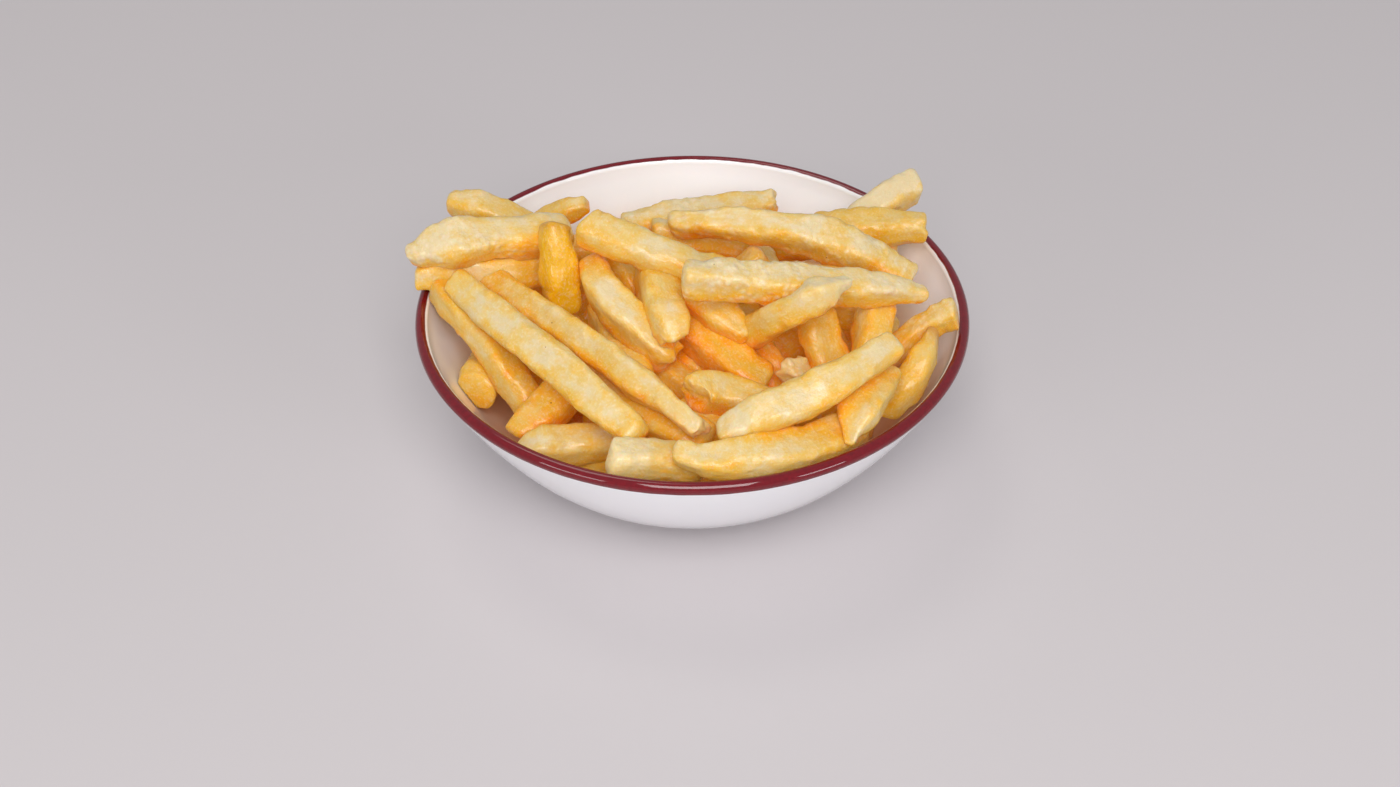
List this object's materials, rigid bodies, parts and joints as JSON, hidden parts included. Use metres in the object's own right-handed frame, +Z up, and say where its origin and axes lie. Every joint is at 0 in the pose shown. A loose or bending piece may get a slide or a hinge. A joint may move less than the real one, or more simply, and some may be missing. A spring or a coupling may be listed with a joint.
{
  "type": "french fries portion",
  "caption": "Round white glazed porcelain bowl with a burgundy rim band, heaped with thick-cut golden french fries, a few of them lying over the rim.",
  "frame": {"origin": "middle of the bowl's underside, on the surface the bowl stands on", "axes": "+Z up along the bowl's own axis, +X to the right and +Y away from the viewer, as the portion is served"},
  "size_m": [0.1621, 0.16, 0.0772],
  "materials": {
    "glaze": "gloss",
    "fried_potato": "satin"
  },
  "bodies": {
    "root": {"bowl": "glaze", "fries": "fried_potato"}
  },
  "joints": []
}
